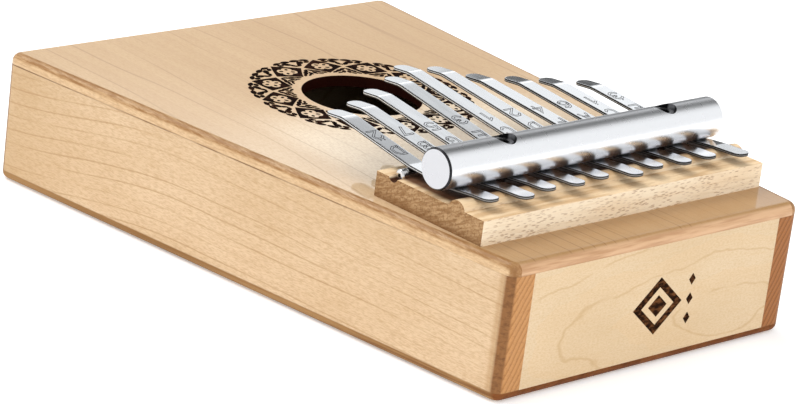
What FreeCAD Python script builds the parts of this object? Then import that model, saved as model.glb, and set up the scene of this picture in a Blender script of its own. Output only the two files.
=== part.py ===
import FreeCAD, Part
import math
import os

import Sketcher

# A ten-tongue box mbira (a thumb piano on a hollow wooden sound box).
# Frame: X across the instrument, Y from the near end, where the player's palms are, to the far
# end, Z up. The origin is the middle of the flat underside. All sizes are millimetres, and the
# sizes whose names end in _from_near are measured along Y from the near end of the box.

SIZES = {
    # sound box, wider at the far end than at the near end
    "box_length": 190,
    "near_width": 110.5,
    "far_width": 145.5,
    "box_height": 38,
    "top_thickness": 3.3,
    "bottom_thickness": 2.5,
    "side_thickness": 8,
    "panel_thickness": 8,
    "corner_radius": 3.2,
    "top_round": 2.5,
    "bottom_round": 2.2,
    "hole_from_near": 118.8,
    "hole_diameter": 34.8,
    # bridge block on the sound board; heights are above the sound board
    "block_from_near": 14.1,
    "block_depth": 40.5,
    "block_width": 107.7,
    "block_height": 6.95,
    "ridge_from_near": 24.2,
    "ridge_radius": 3.1,
    "ridge_top": 9.15,
    # steel rod that the tongues swing from, half sunk in the block
    "rod_from_near": 48.3,
    "rod_diameter": 3.2,
    "rod_length": 103.6,
    "rod_lift": 0.5,
    "rod_chamfer": 0.35,
    "rod_seat_gap": 0.05,
    # round bar that clamps the tongues, and the two screws that pull it down
    "bar_from_near": 32.75,
    "bar_diameter": 11.4,
    "bar_length": 105,
    "bar_shift": -2.2,
    "bar_underside": 9.2,
    "bar_chamfer": 0.5,
    "recess_diameter": 6.9,
    "recess_depth": 4.6,
    "head_diameter": 6.4,
    "head_depth": 3.3,
    "head_chamfer": 0.4,
    "socket_width": 3,
    "socket_depth": 1.8,
    "shank_diameter": 3.8,
    "shank_length": 15.5,
    "shank_clearance": 0.06,
    # tongues: strips of spring steel, bent near the tip
    "tongue_pitch": 10.3,
    "tongue_width": 5.2,
    "tongue_gauge": 0.9,
    "contact_gap": 0.05,
    "tail_rise": 0.055,
    "flex_from_rod": 1,
    "flex_gap": 0.1,
    "bend_radius": 9,
    "tip_length": 7,
    "tip_fall": 0.09,
    "tip_corner": 2.3,
    "tail_corner": 2.2,
}

# Per tongue, left to right: how far the tip and the tail end lie from the near end of the box,
# and how steeply the tongue climbs from the rod (height gained per unit of length).
TONGUES = [
    (82.4, 18.2, 0.160),
    (86.0, 15.5, 0.140),
    (90.8, 17.8, 0.135),
    (93.7, 17.2, 0.160),
    (101.0, 18.4, 0.130),
    (98.1, 15.5, 0.120),
    (92.8, 17.8, 0.090),
    (87.4, 16.8, 0.095),
    (83.8, 17.2, 0.085),
    (78.8, 14.5, 0.085),
]

doc = FreeCAD.newDocument("mbira")
sheet = doc.addObject("Spreadsheet::Sheet", "Sizes")
sizes = dict(SIZES)
for number, (reach, tail, climb) in enumerate(TONGUES, start=1):
    sizes[f"tip_{number}_from_near"] = reach
    sizes[f"tail_{number}_from_near"] = tail
    sizes[f"climb_{number}"] = climb
for row, (alias, size) in enumerate(sizes.items(), start=1):
    sheet.set(f"A{row}", alias)
    sheet.set(f"B{row}", str(size))
    sheet.setAlias(f"B{row}", alias)
doc.recompute()

# Formulas that several sub-parts share, written with the sheet's aliases.
NEAR = "-Sizes.box_length / 2"
FAR = "Sizes.box_length / 2"
BOARD_TOP = "Sizes.box_height"
WALL_HEIGHT = "Sizes.box_height - Sizes.top_thickness - Sizes.bottom_thickness"
TAPER = "(Sizes.far_width - Sizes.near_width) / 2 / Sizes.box_length"
BLOCK_TOP = "(Sizes.box_height + Sizes.block_height)"
BAR_HEIGHT = "(Sizes.box_height + Sizes.bar_underside + Sizes.bar_diameter / 2)"
ROD_HEIGHT = "(Sizes.box_height + Sizes.block_height + Sizes.rod_lift)"
SCREW_X = "3 * Sizes.tongue_pitch"


def along(distance):
    """Y of a place that lies this far from the near end of the box."""
    return f"({distance} - Sizes.box_length / 2)"


def number_of(formula):
    """Value of a formula of sheet aliases."""
    return float(sheet.evalExpression(formula))


def new_body(label):
    body = doc.addObject("PartDesign::Body", label)
    body.Label = label
    return body


def new_sketch(body, name, plane, offset=None):
    """Empty sketch on one of the body's origin planes, moved along its normal by a formula."""
    support = next(item for item in body.Origin.OriginFeatures if item.Role == plane)
    sketch = body.newObject("Sketcher::SketchObject", f"{body.Label}_{name}")
    sketch.AttachmentSupport = (support, [""])
    sketch.MapMode = "FlatFace"
    if offset:
        sketch.setExpression("AttachmentOffset.Base.z", offset)
    return sketch


def dimension(sketch, geometry, point, axis, formula):
    """Hold one coordinate of a sketch point at a formula, measured from the sketch's origin."""
    size = number_of(formula)
    if abs(size) < 1e-9:
        across = -2 if axis == "X" else -1
        sketch.addConstraint(Sketcher.Constraint("PointOnObject", geometry, point, across))
        return
    ends = (-1, 1, geometry, point) if size > 0 else (geometry, point, -1, 1)
    index = sketch.addConstraint(Sketcher.Constraint(f"Distance{axis}", *ends, abs(size)))
    sketch.setExpression(f"Constraints[{index}]", formula if size > 0 else f"-({formula})")


def draw_outline(sketch, corners):
    """Closed outline of straight lines through corners given as pairs of formulas."""
    points = [FreeCAD.Vector(number_of(x), number_of(y), 0) for x, y in corners]
    count = len(points)
    for index, point in enumerate(points):
        sketch.addGeometry(Part.LineSegment(point, points[(index + 1) % count]), False)
    for index in range(count):
        joined = Sketcher.Constraint("Coincident", index, 2, (index + 1) % count, 1)
        sketch.addConstraint(joined)
    for index, (x, y) in enumerate(corners):
        dimension(sketch, index, 1, "X", x)
        dimension(sketch, index, 1, "Y", y)


def draw_circle(sketch, x, y, radius):
    """Circle whose centre and radius are formulas."""
    centre = FreeCAD.Vector(number_of(x), number_of(y), 0)
    circle = Part.Circle(centre, FreeCAD.Vector(0, 0, 1), number_of(radius))
    geometry = sketch.addGeometry(circle, False)
    dimension(sketch, geometry, 3, "X", x)
    dimension(sketch, geometry, 3, "Y", y)
    index = sketch.addConstraint(Sketcher.Constraint("Radius", geometry, number_of(radius)))
    sketch.setExpression(f"Constraints[{index}]", radius)


def pad(body, sketch, length, both_ways=False):
    """Material over the sketch, to a formula's length along its normal."""
    feature = body.newObject("PartDesign::Pad", f"{sketch.Name}_pad")
    feature.Profile = sketch
    feature.Midplane = both_ways
    feature.setExpression("Length", length)
    doc.recompute()
    return feature


def cut(body, sketch, length=None, backwards=False, both_ways=False):
    """Pocket of the sketch's shape, through everything where no length is given."""
    before = body.Shape.Volume
    feature = body.newObject("PartDesign::Pocket", f"{sketch.Name}_cut")
    feature.Profile = sketch
    feature.Midplane = both_ways
    feature.Reversed = backwards
    if length:
        feature.setExpression("Length", length)
    else:
        feature.Type = 1
    doc.recompute()
    if body.Shape.Volume > before - 1e-3:
        raise ValueError(f"{feature.Name} removes nothing")
    return feature


def edges_where(feature, test):
    """Names of the edges whose every vertex passes the test."""
    names = []
    for index, edge in enumerate(feature.Shape.Edges, start=1):
        if all(test(vertex.Point) for vertex in edge.Vertexes):
            names.append(f"Edge{index}")
    return names


def dress(body, kind, base, edges, size):
    """Fillet or Chamfer of named edges, its size a formula."""
    feature = body.newObject(f"PartDesign::{kind}", f"{base.Name}_{kind.lower()}")
    feature.Base = (base, edges)
    feature.setExpression("Radius" if kind == "Fillet" else "Size", size)
    doc.recompute()
    return feature


def upright_edges(feature, keep):
    """Edges parallel to Z whose end passes the test."""
    names = []
    for index, edge in enumerate(feature.Shape.Edges, start=1):
        low, high = edge.Vertexes[0].Point, edge.Vertexes[-1].Point
        upright = abs(low.x - high.x) + abs(low.y - high.y) < 1e-6
        if upright and len(edge.Vertexes) == 2 and keep(low):
            names.append(f"Edge{index}")
    return names


# ---------------------------------------------------------------- sound box

PLAN = [
    ("-Sizes.near_width / 2", NEAR),
    ("Sizes.near_width / 2", NEAR),
    ("Sizes.far_width / 2", FAR),
    ("-Sizes.far_width / 2", FAR),
]


def make_plate(label, thickness, level):
    """Flat board of the box's full plan with rounded corners; returns the body and last feature."""
    body = new_body(label)
    sketch = new_sketch(body, "plan", "XY_Plane")
    draw_outline(sketch, PLAN)
    slab = pad(body, sketch, thickness)
    corners = upright_edges(slab, lambda point: True)
    rounded = dress(body, "Fillet", slab, corners, "Sizes.corner_radius")
    body.setExpression("Placement.Base.z", level)
    return body, rounded


def make_top_board():
    """Sound board with the round sound hole and a rounded upper rim."""
    body, board = make_plate(
        "top_board", "Sizes.top_thickness", "Sizes.box_height - Sizes.top_thickness"
    )
    upper = number_of("Sizes.top_thickness")
    rim = edges_where(board, lambda point: abs(point.z - upper) < 1e-6)
    dress(body, "Fillet", board, rim, "Sizes.top_round")
    sketch = new_sketch(body, "hole", "XY_Plane")
    draw_circle(sketch, "0", along("Sizes.hole_from_near"), "Sizes.hole_diameter / 2")
    cut(body, sketch, backwards=True)
    return body


def make_bottom_board():
    """Plain board that closes the box, rounded where it meets the table."""
    body, board = make_plate("bottom_board", "Sizes.bottom_thickness", "0")
    rim = edges_where(board, lambda point: abs(point.z) < 1e-6)
    dress(body, "Fillet", board, rim, "Sizes.bottom_round")
    return body


def make_side(label, side):
    """Side board, the full length of the box, along its slanted edge; side is -1 or 1."""
    body = new_body(label)
    sketch = new_sketch(body, "plan", "XY_Plane")
    near_outer = f"{side} * Sizes.near_width / 2"
    far_outer = f"{side} * Sizes.far_width / 2"
    near_inner = f"{side} * (Sizes.near_width / 2 - Sizes.side_thickness)"
    far_inner = f"{side} * (Sizes.far_width / 2 - Sizes.side_thickness)"
    draw_outline(
        sketch, [(near_outer, NEAR), (near_inner, NEAR), (far_inner, FAR), (far_outer, FAR)]
    )
    board = pad(body, sketch, WALL_HEIGHT)
    outer_slope = number_of(TAPER)
    near_half = number_of("Sizes.near_width / 2")
    near_y = number_of(NEAR)

    def outside(point):
        return abs(abs(point.x) - near_half - outer_slope * (point.y - near_y)) < 1e-6

    outer = upright_edges(board, outside)
    dress(body, "Fillet", board, outer, "Sizes.corner_radius")
    body.setExpression("Placement.Base.z", "Sizes.bottom_thickness")
    return body


def make_end_panel(label, outer_y, half_width, inwards):
    """Panel let in between the side boards; inwards is the Y direction into the box."""
    body = new_body(label)
    sketch = new_sketch(body, "plan", "XY_Plane")
    inner_y = f"{outer_y} + {inwards} * Sizes.panel_thickness"
    inner_half = f"{half_width} + {inwards} * Sizes.panel_thickness * {TAPER}"
    draw_outline(
        sketch,
        [
            (f"-({half_width})", outer_y),
            (half_width, outer_y),
            (inner_half, inner_y),
            (f"-({inner_half})", inner_y),
        ],
    )
    pad(body, sketch, WALL_HEIGHT)
    body.setExpression("Placement.Base.z", "Sizes.bottom_thickness")
    return body


# ---------------------------------------------------------------- bridge and clamp


def make_bridge_block():
    """Wooden block with a half-round ridge near its front and a groove for the rod."""
    body = new_body("bridge_block")
    side_view = new_sketch(body, "side_view", "YZ_Plane")
    front = along("Sizes.block_from_near")
    back = along("(Sizes.block_from_near + Sizes.block_depth)")
    draw_outline(
        side_view, [(front, BOARD_TOP), (back, BOARD_TOP), (back, BLOCK_TOP), (front, BLOCK_TOP)]
    )
    pad(body, side_view, "Sizes.block_width", both_ways=True)
    ridge = new_sketch(body, "ridge", "YZ_Plane")
    draw_circle(
        ridge,
        along("Sizes.ridge_from_near"),
        "Sizes.box_height + Sizes.ridge_top - Sizes.ridge_radius",
        "Sizes.ridge_radius",
    )
    pad(body, ridge, "Sizes.block_width", both_ways=True)
    groove = new_sketch(body, "groove", "YZ_Plane")
    draw_circle(
        groove,
        along("Sizes.rod_from_near"),
        ROD_HEIGHT,
        "Sizes.rod_diameter / 2 + Sizes.rod_seat_gap",
    )
    cut(body, groove, "Sizes.block_width + 2", both_ways=True)
    for name, side in (("left", -1), ("right", 1)):
        pilot = new_sketch(body, f"{name}_screw_hole", "XY_Plane", BOARD_TOP)
        draw_circle(
            pilot,
            f"{side} * {SCREW_X}",
            along("Sizes.bar_from_near"),
            "Sizes.shank_diameter / 2 + Sizes.shank_clearance",
        )
        cut(body, pilot, backwards=True)
    return body


def make_round_bar(label, diameter, length, chamfer, centre):
    """Round bar along X with chamfered ends, as a Part cylinder; centre is three formulas."""
    cylinder = doc.addObject("Part::Cylinder", f"{label}_stock")
    cylinder.setExpression("Radius", f"{diameter} / 2")
    cylinder.setExpression("Height", length)
    cylinder.Placement.Rotation = FreeCAD.Rotation(FreeCAD.Vector(0, 1, 0), 90)
    middle_x, middle_y, middle_z = centre
    cylinder.setExpression("Placement.Base.x", f"{middle_x} - {length} / 2")
    cylinder.setExpression("Placement.Base.y", middle_y)
    cylinder.setExpression("Placement.Base.z", middle_z)
    doc.recompute()
    bar = doc.addObject("Part::Chamfer", label)
    bar.Base = cylinder
    ends = [
        index
        for index, edge in enumerate(cylinder.Shape.Edges, start=1)
        if isinstance(edge.Curve, Part.Circle)
    ]
    size = number_of(chamfer)
    bar.Edges = [(index, size, size) for index in ends]
    doc.recompute()
    return bar


def upright_cylinders(label, diameter, height, level):
    """Two upright Part cylinders at the screw places, fused into one tool."""
    pair = []
    for side in (-1, 1):
        name = "left" if side < 0 else "right"
        cylinder = doc.addObject("Part::Cylinder", f"{label}_{name}")
        cylinder.setExpression("Radius", f"{diameter} / 2")
        cylinder.setExpression("Height", height)
        cylinder.setExpression("Placement.Base.x", f"{side} * {SCREW_X}")
        cylinder.setExpression("Placement.Base.y", along("Sizes.bar_from_near"))
        cylinder.setExpression("Placement.Base.z", level)
        pair.append(cylinder)
    return pair


RECESS_FLOOR = "Sizes.box_height + Sizes.bar_underside + Sizes.bar_diameter - Sizes.recess_depth"


def make_pressure_bar():
    """Round metal bar with two recessed screw holes."""
    bar = make_round_bar(
        "bar_blank",
        "Sizes.bar_diameter",
        "Sizes.bar_length",
        "Sizes.bar_chamfer",
        ("Sizes.bar_shift", along("Sizes.bar_from_near"), BAR_HEIGHT),
    )
    recesses = upright_cylinders(
        "head_recess", "Sizes.recess_diameter", "Sizes.recess_depth + 1", RECESS_FLOOR
    )
    holes = upright_cylinders(
        "shank_hole",
        "(Sizes.shank_diameter + 2 * Sizes.shank_clearance)",
        "Sizes.bar_diameter + 2",
        "Sizes.box_height + Sizes.bar_underside - 1",
    )
    drills = doc.addObject("Part::MultiFuse", "bar_drills")
    drills.Shapes = recesses + holes
    drilled = doc.addObject("Part::Cut", "pressure_bar")
    drilled.Label = "pressure_bar"
    drilled.Base = bar
    drilled.Tool = drills
    doc.recompute()
    return drilled


def make_bar_screws():
    """The two equal socket-head screws, shank down, each a separate solid."""
    heads = upright_cylinders(
        "screw_head", "Sizes.head_diameter", "Sizes.head_depth", RECESS_FLOOR
    )
    shanks = upright_cylinders(
        "screw_shank",
        "Sizes.shank_diameter",
        "Sizes.shank_length",
        f"{RECESS_FLOOR} - Sizes.shank_length",
    )
    screws = []
    for head, shank, side in zip(heads, shanks, (-1, 1)):
        name = "left" if side < 0 else "right"
        socket = doc.addObject("Part::Prism", f"screw_socket_{name}")
        socket.Polygon = 6
        socket.setExpression("Circumradius", f"Sizes.socket_width / {math.sqrt(3):.4f}")
        socket.setExpression("Height", "Sizes.socket_depth + 1")
        socket.setExpression("Placement.Base.x", f"{side} * {SCREW_X}")
        socket.setExpression("Placement.Base.y", along("Sizes.bar_from_near"))
        socket.setExpression(
            "Placement.Base.z", f"{RECESS_FLOOR} + Sizes.head_depth - Sizes.socket_depth"
        )
        blank = doc.addObject("Part::Fuse", f"screw_blank_{name}")
        blank.Base = head
        blank.Tool = shank
        screw = doc.addObject("Part::Cut", f"screw_{name}")
        screw.Base = blank
        screw.Tool = socket
        screws.append(screw)
    pair = doc.addObject("Part::Compound", "bar_screws")
    pair.Label = "bar_screws"
    pair.Links = screws
    doc.recompute()
    return pair


# ---------------------------------------------------------------- tongues

STRIP_UNDER_RIDGE = "(Sizes.box_height + Sizes.ridge_top + Sizes.contact_gap)"
STRIP_UNDER_ROD = f"({ROD_HEIGHT} + Sizes.rod_diameter / 2 + Sizes.contact_gap)"
STRIP_UNDER_BAR = (
    "(Sizes.box_height + Sizes.bar_underside - Sizes.contact_gap - Sizes.tongue_gauge)"
)
FLEX_LINE = along("(Sizes.rod_from_near + Sizes.flex_from_rod)")


def make_strip(label, number, stations, corner_end, corner_radius):
    """Strip of the tongue's gauge and width along stations (Y, height of the underside)."""
    body = new_body(label)
    sketch = new_sketch(body, "side_view", "YZ_Plane")
    upper = [(y, f"{level} + Sizes.tongue_gauge") for y, level in reversed(stations)]
    draw_outline(sketch, stations + upper)
    strip = pad(body, sketch, "Sizes.tongue_width", both_ways=True)
    end_y = number_of(corner_end)
    corners = []
    for index, edge in enumerate(strip.Shape.Edges, start=1):
        first, second = (vertex.Point for vertex in edge.Vertexes)
        at_end = max(abs(first.y - end_y), abs(second.y - end_y)) < 1e-6
        if at_end and abs(first.x - second.x) < 1e-6:
            corners.append(f"Edge{index}")
    rounded = dress(body, "Fillet", strip, corners, corner_radius)
    body.setExpression("Placement.Base.x", f"{number - 5.5} * Sizes.tongue_pitch")
    return body, rounded


def cross_edge(strip, y, level):
    """Name of the edge that runs across a strip at this Y and height, both formulas."""
    place = (number_of(y), number_of(level))
    for index, edge in enumerate(strip.Shape.Edges, start=1):
        points = [vertex.Point for vertex in edge.Vertexes]
        if all(math.dist((point.y, point.z), place) < 1e-4 for point in points):
            return f"Edge{index}"
    raise ValueError(f"{strip.Name} has no edge across at {place}")


def make_tongue_root(number):
    """Clamped length of a tongue: over the ridge, under the bar, onto the rod."""
    tail_y = along(f"Sizes.tail_{number}_from_near")
    ridge_y = along("Sizes.ridge_from_near")
    tail_level = f"{STRIP_UNDER_RIDGE} + ({ridge_y} - {tail_y}) * Sizes.tail_rise"
    stations = [
        (tail_y, tail_level),
        (ridge_y, STRIP_UNDER_RIDGE),
        (along("Sizes.bar_from_near"), STRIP_UNDER_BAR),
        (along("Sizes.rod_from_near"), STRIP_UNDER_ROD),
        (
            f"{FLEX_LINE} - Sizes.flex_gap / 2",
            f"{STRIP_UNDER_ROD} + (Sizes.flex_from_rod - Sizes.flex_gap / 2) * Sizes.climb_{number}",
        ),
    ]
    body, _ = make_strip(f"tongue_{number}_root", number, stations, tail_y, "Sizes.tail_corner")
    return body


def make_tongue(number):
    """Free length of a tongue: it climbs from the rod and turns down a little at the tip."""
    tip_y = along(f"Sizes.tip_{number}_from_near")
    climb = f"Sizes.climb_{number}"
    bend_y = f"({tip_y} - Sizes.tip_length)"
    rod_y = along("Sizes.rod_from_near")
    bend_level = f"({STRIP_UNDER_ROD} + ({bend_y} - {rod_y}) * {climb})"
    start_y = f"{FLEX_LINE} + Sizes.flex_gap / 2"
    start_level = f"{STRIP_UNDER_ROD} + (Sizes.flex_from_rod + Sizes.flex_gap / 2) * {climb}"
    stations = [
        (start_y, start_level),
        (bend_y, bend_level),
        (tip_y, f"{bend_level} - Sizes.tip_length * Sizes.tip_fall"),
    ]
    body, strip = make_strip(f"tongue_{number}", number, stations, tip_y, "Sizes.tip_corner")
    under = cross_edge(strip, bend_y, bend_level)
    inner = dress(body, "Fillet", strip, [under], "Sizes.bend_radius")
    over = cross_edge(inner, bend_y, f"{bend_level} + Sizes.tongue_gauge")
    dress(body, "Fillet", inner, [over], "Sizes.bend_radius + Sizes.tongue_gauge")
    return body


# ---------------------------------------------------------------- assembly and output

NEAR_HALF = "(Sizes.near_width / 2 - Sizes.side_thickness)"
FAR_HALF = "(Sizes.far_width / 2 - Sizes.side_thickness)"

nodes = [
    make_top_board(),
    make_bottom_board(),
    make_side("left_side_board", -1),
    make_side("right_side_board", 1),
    make_end_panel("near_end_panel", NEAR, NEAR_HALF, 1),
    make_end_panel("far_end_panel", FAR, FAR_HALF, -1),
    make_bridge_block(),
    make_round_bar(
        "bridge_rod",
        "Sizes.rod_diameter",
        "Sizes.rod_length",
        "Sizes.rod_chamfer",
        ("0", along("Sizes.rod_from_near"), ROD_HEIGHT),
    ),
    make_pressure_bar(),
    make_bar_screws(),
]
for tongue_number in range(1, len(TONGUES) + 1):
    nodes.append(make_tongue_root(tongue_number))
    nodes.append(make_tongue(tongue_number))

doc.recompute()
for item in doc.Objects:
    if "Invalid" in item.State or "Error" in item.State:
        raise ValueError(f"{item.Name} failed: {item.State}")
for node in nodes:
    if node.Shape.isNull() or not node.Shape.isValid():
        raise ValueError(f"{node.Label} has no valid shape")

os.makedirs("parts", exist_ok=True)
for node in nodes:
    node.Shape.exportStep(f"parts/{node.Label}.step")
    box = node.Shape.BoundBox
    print(
        f"{node.Label:18s} solids {len(node.Shape.Solids)}  volume {node.Shape.Volume:9.1f}  "
        f"x {box.XMin:7.2f} {box.XMax:7.2f}  y {box.YMin:7.2f} {box.YMax:7.2f}  "
        f"z {box.ZMin:6.2f} {box.ZMax:6.2f}"
    )
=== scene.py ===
import math

import bpy
from mathutils import Matrix, Vector


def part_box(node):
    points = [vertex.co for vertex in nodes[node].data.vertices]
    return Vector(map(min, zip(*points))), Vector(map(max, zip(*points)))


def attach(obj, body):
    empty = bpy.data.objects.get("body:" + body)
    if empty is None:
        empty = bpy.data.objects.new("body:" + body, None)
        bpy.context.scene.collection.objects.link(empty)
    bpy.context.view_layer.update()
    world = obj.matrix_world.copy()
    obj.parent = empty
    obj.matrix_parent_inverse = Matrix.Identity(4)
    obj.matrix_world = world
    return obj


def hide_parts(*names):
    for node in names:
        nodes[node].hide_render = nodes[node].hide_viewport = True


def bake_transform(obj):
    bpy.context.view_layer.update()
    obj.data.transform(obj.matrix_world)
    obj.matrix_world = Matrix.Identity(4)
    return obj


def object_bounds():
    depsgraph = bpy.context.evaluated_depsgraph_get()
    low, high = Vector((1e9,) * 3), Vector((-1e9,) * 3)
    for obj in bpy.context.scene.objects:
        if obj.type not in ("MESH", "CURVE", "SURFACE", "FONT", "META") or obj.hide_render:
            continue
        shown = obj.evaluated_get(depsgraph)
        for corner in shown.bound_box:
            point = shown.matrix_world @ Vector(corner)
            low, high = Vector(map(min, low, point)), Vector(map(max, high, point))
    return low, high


# A ten-tongue box mbira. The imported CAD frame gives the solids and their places. The pieces made
# here are the bent steel strips with their stamped marks, the knurled screws, the burnt rosette
# round the sound hole and the burnt lozenges on the near panel. Units are metres.

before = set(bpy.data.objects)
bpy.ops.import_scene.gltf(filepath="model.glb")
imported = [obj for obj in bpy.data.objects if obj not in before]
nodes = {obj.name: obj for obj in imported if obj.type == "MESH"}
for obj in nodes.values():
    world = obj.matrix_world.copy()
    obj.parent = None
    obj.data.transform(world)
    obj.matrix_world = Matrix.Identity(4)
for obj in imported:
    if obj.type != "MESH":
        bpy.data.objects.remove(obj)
cad_low, cad_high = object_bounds()
scene = bpy.context.scene

MM = 0.001
TONGUE_COUNT = 10

# ------------ camera, floor and light

# Direction, roll, distance and offsets of the camera, from the foot of the box's near end.
VIEW_AZIMUTH = math.radians(-45.257)
VIEW_ELEVATION = math.radians(19.59)
VIEW_ROLL = math.radians(7.402)
VIEW_DISTANCE = 0.8983
VIEW_SIDEWAYS = -0.0646
VIEW_UPWARDS = 0.0437
LENS_MM = 151.95
SENSOR_MM = 36.0


def add_camera():
    """Rolled camera above the corner between the left side and the near end."""
    sine, cosine = math.sin(VIEW_AZIMUTH), math.cos(VIEW_AZIMUTH)
    level, rise = math.cos(VIEW_ELEVATION), math.sin(VIEW_ELEVATION)
    back = Vector((sine * level, -cosine * level, rise))
    right = Vector((cosine, sine, 0.0))
    up = back.cross(right)
    rolled_right = right * math.cos(VIEW_ROLL) + up * math.sin(VIEW_ROLL)
    rolled_up = up * math.cos(VIEW_ROLL) - right * math.sin(VIEW_ROLL)
    near_end = Vector((0.0, cad_low.y, 0.0))
    place = near_end + back * VIEW_DISTANCE + rolled_right * VIEW_SIDEWAYS + rolled_up * VIEW_UPWARDS
    camera = bpy.data.objects.new("camera", bpy.data.cameras.new("camera"))
    camera.matrix_world = Matrix(
        [(rolled_right[i], rolled_up[i], back[i], place[i]) for i in range(3)] + [(0, 0, 0, 1)]
    )
    camera.data.lens = LENS_MM
    camera.data.sensor_width = SENSOR_MM
    camera.data.clip_start = 0.01
    camera.data.clip_end = 50.0
    scene.collection.objects.link(camera)
    scene.camera = camera


class Nodes:
    """A node tree, built a few nodes at a time."""

    def __init__(self, tree):
        self.tree = tree

    def new(self, kind):
        return self.tree.nodes.new("ShaderNode" + kind)

    def feed(self, value, socket):
        """Link a socket, or set a constant, on an input."""
        if isinstance(value, bpy.types.NodeSocket):
            self.tree.links.new(value, socket)
        else:
            socket.default_value = value

    def split(self, vector):
        node = self.new("SeparateXYZ")
        self.feed(vector, node.inputs[0])
        return node.outputs[0], node.outputs[1], node.outputs[2]

    def join(self, x, y, z):
        node = self.new("CombineXYZ")
        for value, socket in zip((x, y, z), node.inputs):
            self.feed(value, socket)
        return node.outputs[0]

    def sum(self, *values):
        return self.fold("ADD", values)

    def times(self, *values):
        return self.fold("MULTIPLY", values)

    def fold(self, operation, values):
        result = values[0]
        for value in values[1:]:
            result = self.calc(operation, result, value)
        return result

    def calc(self, operation, first, second=0.0):
        node = self.new("Math")
        node.operation = operation
        for value, socket in zip((first, second), node.inputs):
            self.feed(value, socket)
        return node.outputs[0]

    def distance(self, first, second):
        """Length of an offset given by its two legs."""
        legs = self.sum(self.calc("POWER", first, 2.0), self.calc("POWER", second, 2.0))
        return self.calc("SQRT", legs)

    def ease(self, value, low, high, start=0.0, end=1.0):
        """Smooth step of a value from low to high, giving start to end."""
        node = self.new("MapRange")
        node.interpolation_type = "SMOOTHSTEP"
        for amount, socket in zip((value, low, high, start, end), node.inputs):
            self.feed(amount, socket)
        return node.outputs[0]


class Shader(Nodes):
    """One material. Places are object coordinates in metres."""

    def __init__(self, name):
        self.material = bpy.data.materials.new(name)
        self.material.use_nodes = True
        super().__init__(self.material.node_tree)
        self.surface = self.tree.nodes["Principled BSDF"]
        self.x, self.y, self.z = self.split(self.new("TexCoord").outputs["Object"])

    def normal(self):
        """X, Y and Z of the surface normal."""
        return self.split(self.new("NewGeometry").outputs["Normal"])

    def noise(self, scales, detail=3.0, rough=0.5, shift=0.0):
        """Noise from 0 to 1; scales are cycles per metre along X, Y and Z."""
        return self.noise_at(self.stretched(scales, shift), detail, rough)

    def stretched(self, scales, shift=0.0):
        """Object coordinates scaled along X, Y and Z."""
        return self.join(
            self.sum(self.times(self.x, scales[0]), shift),
            self.times(self.y, scales[1]),
            self.times(self.z, scales[2]),
        )

    def noise_at(self, vector, detail, rough):
        """Noise from 0 to 1 at places of the caller's own making."""
        node = self.new("TexNoise")
        self.feed(vector, node.inputs["Vector"])
        node.inputs["Scale"].default_value = 1.0
        node.inputs["Detail"].default_value = detail
        node.inputs["Roughness"].default_value = rough
        return node.outputs[0]

    def stored(self, name):
        """A number kept with each point of the mesh."""
        node = self.new("Attribute")
        node.attribute_name = name
        return node.outputs["Fac"]

    def cells(self, scales):
        """Distance to the nearest of scattered points, in cells per metre along X, Y and Z."""
        node = self.new("TexVoronoi")
        self.feed(self.stretched(scales), node.inputs["Vector"])
        node.inputs["Scale"].default_value = 1.0
        return node.outputs["Distance"]

    def mix(self, share, first, second):
        """Colour that goes from the first to the second as share goes from 0 to 1."""
        node = self.new("Mix")
        node.data_type = "RGBA"
        self.feed(share, node.inputs[0])
        for value, socket in ((first, node.inputs[6]), (second, node.inputs[7])):
            self.feed(value if isinstance(value, bpy.types.NodeSocket) else (*value, 1.0), socket)
        return node.outputs[2]

    def lines(self, value, width):
        """1 on thin lines halfway between whole numbers of the value, 0 away from them."""
        part = self.calc("FRACT", value)
        gap = self.calc("ABSOLUTE", self.sum(part, -0.5))
        return self.ease(gap, 0.0, width, 1.0, 0.0)

    def bump(self, height, depth, strength):
        node = self.new("Bump")
        node.inputs["Strength"].default_value = strength
        node.inputs["Distance"].default_value = depth
        self.feed(height, node.inputs["Height"])
        self.feed(node.outputs[0], self.surface.inputs["Normal"])

    def finish(self, colour, roughness, metallic=0.0, coat=0.0, coat_roughness=0.05, specular=0.5):
        self.feed(colour, self.surface.inputs["Base Color"])
        self.feed(roughness, self.surface.inputs["Roughness"])
        self.surface.inputs["Metallic"].default_value = metallic
        self.surface.inputs["Coat Weight"].default_value = coat
        self.surface.inputs["Coat Roughness"].default_value = coat_roughness
        self.surface.inputs["Specular IOR Level"].default_value = specular
        return self.material


def add_floor():
    """Plain pale floor under the box."""
    reach = 6.0
    drop = -0.0002
    mesh = bpy.data.meshes.new("floor")
    corners = [(-reach, -reach, drop), (reach, -reach, drop), (reach, reach, drop), (-reach, reach, drop)]
    mesh.from_pydata(corners, [], [(0, 1, 2, 3)])
    floor = bpy.data.objects.new("floor", mesh)
    scene.collection.objects.link(floor)
    shader = Shader("pale_floor")
    tone = shader.mix(shader.noise((3, 3, 3)), (0.93, 0.93, 0.93), (0.96, 0.96, 0.96))
    mesh.materials.append(shader.finish(tone, 0.9, specular=0.1))
    shader.feed(tone, shader.surface.inputs["Emission Color"])
    shader.surface.inputs["Emission Strength"].default_value = 0.3


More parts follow.
